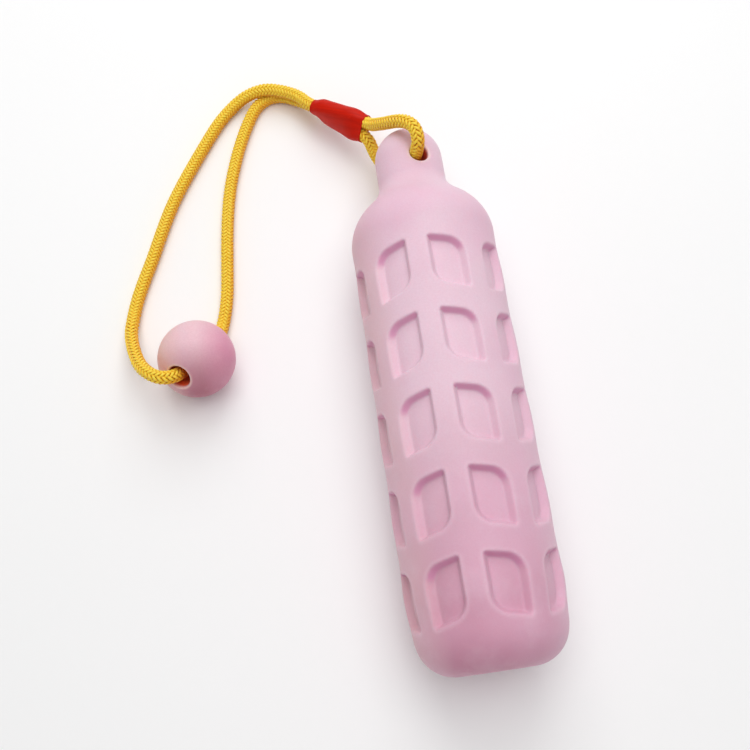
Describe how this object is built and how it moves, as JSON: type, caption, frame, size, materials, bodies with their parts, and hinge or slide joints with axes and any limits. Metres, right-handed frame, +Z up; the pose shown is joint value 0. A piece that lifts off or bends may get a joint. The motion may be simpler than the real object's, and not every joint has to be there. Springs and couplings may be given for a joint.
{
  "type": "training bumper",
  "caption": "Bottle-shaped foam throwing bumper with recessed pockets, a rope loop through its neck joined by a shrink sleeve, and a foam ball threaded on the loop.",
  "frame": {"origin": "on the floor under the middle of the lying foam body, without the rope, sleeve, seizings and ball", "axes": "+Y along the body's axis towards its neck, +Z up from the floor, +X to the side away from the rope loop"},
  "size_m": [0.1747, 0.3007, 0.065],
  "materials": {
    "foam": "matt moulded foam skin",
    "ball_foam": "matt moulded foam skin",
    "braided_rope": "fine braid with a slight sheen",
    "shrink_sleeve": "satin shrink tube",
    "twine": "waxed twine"
  },
  "bodies": {
    "bumper": {"bumper_body": "foam"},
    "lanyard": {"throw_rope": "braided_rope", "joint_sleeve": "shrink_sleeve", "rope_seizing": "twine"},
    "ball": {"throw_ball": "ball_foam"}
  },
  "joints": [
    {"name": "lanyard_swing", "type": "hinge", "parent": "bumper", "child": "lanyard", "pos_m": [0, 0.103, 0.0325], "axis": [0, 0, 1], "range_deg": [-140, 30]},
    {"name": "ball_spin", "type": "hinge", "parent": "lanyard", "child": "ball", "pos_m": [-0.1084, 0.0289, 0.0175], "axis": [-0.4295, -0.6795, 0.5948], "continuous": true}
  ]
}
